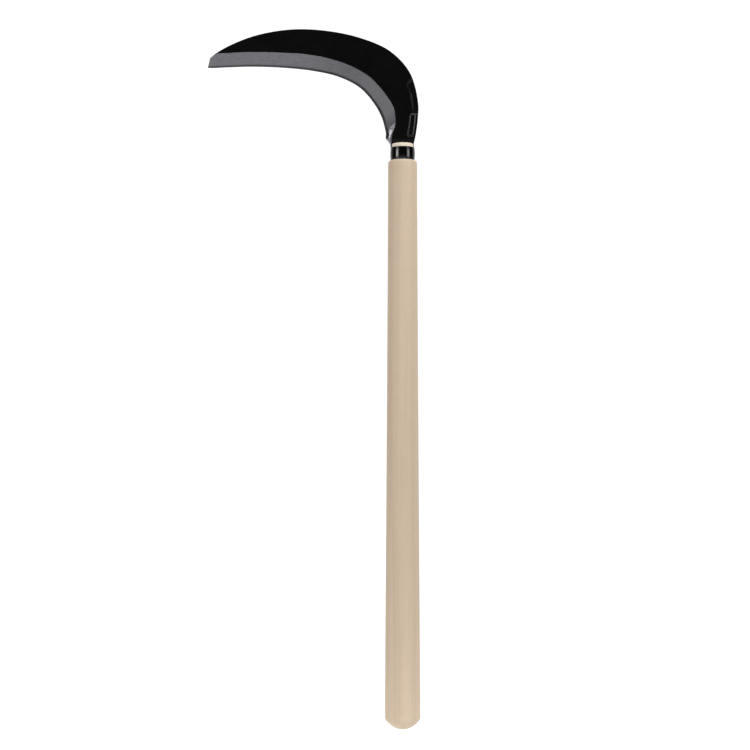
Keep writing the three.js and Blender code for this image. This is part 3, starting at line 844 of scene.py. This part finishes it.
def handle():
    """The turned wood, with its mortise, slot, wedge room and nail hole."""
    shaft_top = SHOULDER_Z - SHOULDER_ROUND_HEIGHT
    round_width = SHAFT_TOP_RADIUS - SHOULDER_FLAT_RADIUS
    top = HANDLE_HIGH.z
    profile = [(0, 0), (BUTT_INNER_RADIUS, 0)] + dome(DOME_RINGS)
    for i in range(1, SHAFT_RINGS + 1):
        up = i / SHAFT_RINGS
        profile.append((shaft_radius(up), lerp(DOME_HEIGHT, shaft_top, up)))
    profile += arc(SHOULDER_FLAT_RADIUS, shaft_top, round_width, SHOULDER_ROUND_HEIGHT, 0, 90, 14)[1:]
    profile += [(SPIGOT_RADIUS, SHOULDER_Z)]
    profile += arc(SPIGOT_RADIUS - SPIGOT_EDGE, top - SPIGOT_EDGE, SPIGOT_EDGE, SPIGOT_EDGE, 0, 90, 8)
    profile += [(SPIGOT_INNER_RADIUS, top), (0, top)]
    bm = turned(profile, HANDLE_SIDES)
    wedge_room = solid_mesh(loft(wedge_rings(GAP, CUT_REACH), (0, 1)))
    cutters = [mortise(), foot_slot(), wedge_room, pin_hole(PIN_LOW.y - GAP)]
    return new_piece("handle_fine", bm, [HANDLE_WOOD], "handle", 50, cutters)


FERRULE_END_DROP = 0.35  # how much slimmer the ring is at its ends than at its waist
FERRULE_BARREL_POWER = 2.2
FERRULE_EDGE = 0.8
FERRULE_HALF_RINGS = 16


def ferrule():
    """The slightly barrelled black ring."""
    low, high = FERRULE_LOW.z, FERRULE_HIGH.z
    middle, half = (low + high) / 2, (high - low) / 2
    waist, inner = FERRULE_HIGH.x, SPIGOT_RADIUS + GAP
    end = waist - FERRULE_END_DROP
    barrel = []
    for i in range(1, 2 * FERRULE_HALF_RINGS):
        side = -1 + i / FERRULE_HALF_RINGS
        radius = lerp(waist, end, abs(side) ** FERRULE_BARREL_POWER)
        barrel.append((radius, middle + side * (half - FERRULE_EDGE)))
    bottom = arc(end - FERRULE_EDGE, low + FERRULE_EDGE, FERRULE_EDGE, FERRULE_EDGE, -90, 0, 8)
    top = arc(end - FERRULE_EDGE, high - FERRULE_EDGE, FERRULE_EDGE, FERRULE_EDGE, 0, 90, 8)
    profile = bottom + barrel + top + [(inner, high), (inner, low), bottom[0]]
    bm = turned(profile, HANDLE_SIDES)
    return new_piece("ferrule_fine", bm, [GLOSS_BLACK], "ferrule", 60, [pin_hole(0)])


PIN_RADIUS = 1.5
PIN_POINT = 4  # the length of the nail's point
PIN_HEAD = 1.3  # the height of its head
PIN_HEAD_EDGE = 0.2
PIN_FILLET = 0.15  # how much the shank widens under the head
PIN_HEAD_INNER_RADIUS = 0.3  # of the faces in the middle of the head
PIN_SIDES = 64
PIN_DENT = 0.00014  # the depth of the dents in its head, in metres
PIN_DENTS_PER_METRE = 900


def tang_pin():
    """A nail along Y, its head at the back, dented by the hammer."""
    head_radius = (PIN_HIGH.x - PIN_LOW.x) / 2
    tip, top = PIN_LOW.y, PIN_HIGH.y
    head = top - PIN_HEAD
    profile = [(0, tip), (PIN_RADIUS * 0.35, tip + PIN_POINT * 0.25), (PIN_RADIUS, tip + PIN_POINT)]
    profile += [(PIN_RADIUS, head - PIN_HEAD_EDGE), (PIN_RADIUS + PIN_FILLET, head)]
    profile += [(head_radius - PIN_HEAD_EDGE, head), (head_radius, head + PIN_HEAD_EDGE)]
    rim = 2 * PIN_HEAD_EDGE
    profile += arc(0, head + rim, head_radius, PIN_HEAD - rim, 0, 90, 10)[:-1]
    profile += [(PIN_HEAD_INNER_RADIUS, top), (0, top)]
    bm = turned(profile, PIN_SIDES)
    middle = (PIN_LOW.z + PIN_HIGH.z) / 2 * MM
    for vert in bm.verts:
        x, y, z = vert.co
        vert.co = Vector((x, z, middle - y))
        if z > (head + 0.5) * MM:
            vert.co.y -= PIN_DENT * abs(noise.noise(vert.co * PIN_DENTS_PER_METRE))
    return new_piece("tang_pin_fine", bm, [WIRE_STEEL], "tang_pin", 50)


WEDGE_TOP_THICKNESS = 2.2
WEDGE_BOTTOM_THICKNESS = 0.8
WEDGE_ACROSS, WEDGE_THROUGH, WEDGE_UP = 24, 3, 60  # steps along its width, thickness and height
WEDGE_SPLIT = 0.06  # how uneven its split sides are
WEDGE_TEAR = 0.15  # how uneven its top is


def tang_wedge():
    """The thin wedge behind the tang, its sides split and its top slightly bruised."""
    low, high = wedge_rings(0, 0)
    rings = []
    for i in range(WEDGE_UP + 1):
        corners = [Vector(a).lerp(Vector(b), i / WEDGE_UP) for a, b in zip(low, high)]
        ring = []
        for a, b, steps in zip(corners, corners[1:] + corners[:1], (WEDGE_ACROSS, WEDGE_THROUGH) * 2):
            ring += [a.lerp(b, k / steps) for k in range(steps)]
        for p in ring:
            p.y += WEDGE_SPLIT * noise.noise(Vector((p.x * 0.9, p.z * 0.05, 2.0)))
            if i == WEDGE_UP:
                p.z += WEDGE_TEAR * (noise.noise(Vector((p.x * 1.7, p.y * 1.7, 5))) - 0.5)
        rings.append(ring)
    bm = loft(rings, [0] * len(rings))
    bmesh.ops.triangulate(bm, faces=[f for f in bm.faces if len(f.verts) > 4])
    return new_piece("tang_wedge_fine", bm, [WEDGE_WOOD], "tang_wedge", 40, [pin_hole(0)])


blade_body()
edge_steel()
handle()
ferrule()
tang_pin()
tang_wedge()

# ---------------------------------------------------------------- floor, light and camera

WHITE = 1.1  # the strength at which the camera sees floor and background as white
FLOOR_HALF_SIZE = 15
FLOOR_DROP = 0.0005  # the floor is this much under the butt, so that the two never meet
FLOOR_GLOW = 1.2
FLOOR_REACH = 0.6
FLOOR_FADE = [(0.1, 1.0), (0.7, 0.5), (1.0, 0.45)]  # the glow, by part of the reach


def floor():
    """A pale floor that glows like a light table, so that it takes no shadow."""
    bm = bmesh.new()
    bmesh.ops.create_grid(bm, x_segments=8, y_segments=8, size=FLOOR_HALF_SIZE)
    mesh = bpy.data.meshes.new("floor")
    bm.to_mesh(mesh)
    bm.free()
    plane = bpy.data.objects.new("floor", mesh)
    plane.location.z = -FLOOR_DROP
    bpy.context.scene.collection.objects.link(plane)
    f = Finish("floor_white")
    away = f.node("ShaderNodeVectorMath", {0: f.point()}, operation="LENGTH").outputs["Value"]
    glow = f.math("MULTIPLY", f.ramp(f.math("DIVIDE", away, FLOOR_REACH), FLOOR_FADE), FLOOR_GLOW)
    seen = f.node("ShaderNodeLightPath").outputs["Is Camera Ray"]
    f.set("Emission Strength", f.math("MAXIMUM", glow, f.math("MULTIPLY", seen, WHITE)))
    f.set("Emission Color", (1, 1, 1, 1))
    f.set("Base Color", (0, 0, 0, 1))
    f.set("Roughness", 1.0)
    f.set("Specular IOR Level", 0.0)
    mesh.materials.append(f.material)


def softbox(name, place, aim, width, tall, radiance, kind):
    """A soft rectangular light. kind is "gloss" for one that only shows in shiny surfaces, and "fill" for
    one that only lights matt ones."""
    light = bpy.data.lights.new(name, "AREA")
    light.shape = "RECTANGLE"
    light.size, light.size_y = width, tall
    light.energy = radiance * math.pi * width * tall
    lamp = bpy.data.objects.new(name, light)
    lamp.location = place
    lamp.rotation_euler = (Vector(aim) - Vector(place)).to_track_quat("-Z", "Y").to_euler()
    lamp.visible_camera = False
    lamp.visible_diffuse, lamp.visible_glossy = kind == "fill", kind == "gloss"
    bpy.context.scene.collection.objects.link(lamp)


# The tall soft lights left and right of the tool, as (name, side, radiance). Each has a bright part from the
# ferrule's height up, and a weaker one over it, as (name, middle, height, share of the radiance).
STRIPS = (("left", -1, 5.7), ("right", 1, 3.5))
STRIP_PARTS = (("strip", 0.735, 0.33, 1.0), ("strip_top", 1.035, 0.27, 0.36))
STRIP_X, STRIP_Y = 0.958, -0.722
STRIP_WIDTH = 0.42
# The soft lights for the wood, as (name, place, aim, width, height, radiance)
FILLS = (
    ("fill_right", (1.0, -0.7, 0.95), (0, 0, 0.55), 0.8, 0.8, 5.5),
    ("fill_left", (-0.85, -0.95, 0.5), (0, 0, 0.35), 0.6, 0.9, 3.9),
)


def studio():
    """Two shiny strips at the sides, and two large soft lights for the wood."""
    for part, z, tall, share in STRIP_PARTS:
        for end, side, radiance in STRIPS:
            spot = (side * STRIP_X, STRIP_Y, z)
            softbox(f"{part}_{end}", spot, (0, 0, z), STRIP_WIDTH, tall, share * radiance, "gloss")
    for name, *light in FILLS:
        softbox(name, *light, "fill")


HORIZON_LIGHT = 0.012
ZENITH_LIGHT = 1.9
ZENITH_SPAN = (0.45, 0.95)  # from the horizon's light to the zenith's, by Z of the direction
BACK_LIGHT = 0.8
BACK_SPAN = (0.15, 0.8)  # from none of the back's light to all of it, by Y of the direction


def surroundings():
    """White to the camera. The light that it gives is dark level with the tool, and bright overhead and
    behind."""
    world = bpy.data.worlds.new("studio")
    world.use_nodes = True
    tree = world.node_tree
    tree.nodes.clear()

    def node(kind, **settings):
        made = tree.nodes.new(kind)
        for key, value in settings.items():
            setattr(made, key, value)
        return made

    def span(source, low, high, to_low, to_high):
        made = node("ShaderNodeMapRange", interpolation_type="SMOOTHSTEP")
        for key, value in zip(("From Min", "From Max", "To Min", "To Max"), (low, high, to_low, to_high)):
            made.inputs[key].default_value = value
        tree.links.new(source, made.inputs["Value"])
        return made.outputs["Result"]

    split = node("ShaderNodeSeparateXYZ")
    tree.links.new(node("ShaderNodeTexCoord").outputs["Generated"], split.inputs[0])
    above = span(split.outputs["Z"], *ZENITH_SPAN, HORIZON_LIGHT, ZENITH_LIGHT)
    behind = span(split.outputs["Y"], *BACK_SPAN, 0.0, BACK_LIGHT)
    total = node("ShaderNodeMath", operation="ADD")
    tree.links.new(above, total.inputs[0])
    tree.links.new(behind, total.inputs[1])
    seen, room = node("ShaderNodeBackground"), node("ShaderNodeBackground")
    seen.inputs["Color"].default_value = room.inputs["Color"].default_value = (1, 1, 1, 1)
    seen.inputs["Strength"].default_value = WHITE
    tree.links.new(total.outputs[0], room.inputs["Strength"])
    pick = node("ShaderNodeMixShader")
    tree.links.new(node("ShaderNodeLightPath").outputs["Is Camera Ray"], pick.inputs[0])
    tree.links.new(room.outputs[0], pick.inputs[1])
    tree.links.new(seen.outputs[0], pick.inputs[2])
    tree.links.new(pick.outputs[0], node("ShaderNodeOutputWorld").inputs["Surface"])
    bpy.context.scene.world = world


EYE = (-0.0276, -1.3, 0.3531)
VIEW_WIDTH = 0.75  # what the picture spans at the tool


def camera():
    """Square on to the blade's face, level with the middle of the tool."""
    data = bpy.data.cameras.new("camera")
    eye = bpy.data.objects.new("camera", data)
    eye.location = EYE
    eye.rotation_euler = (math.radians(90), 0, 0)
    data.sensor_width = 36
    data.lens = data.sensor_width * -EYE[1] / VIEW_WIDTH
    data.clip_start = 0.01
    bpy.context.scene.collection.objects.link(eye)
    bpy.context.scene.camera = eye


floor()
studio()
surroundings()
camera()
bpy.context.scene.view_settings.view_transform = "Standard"
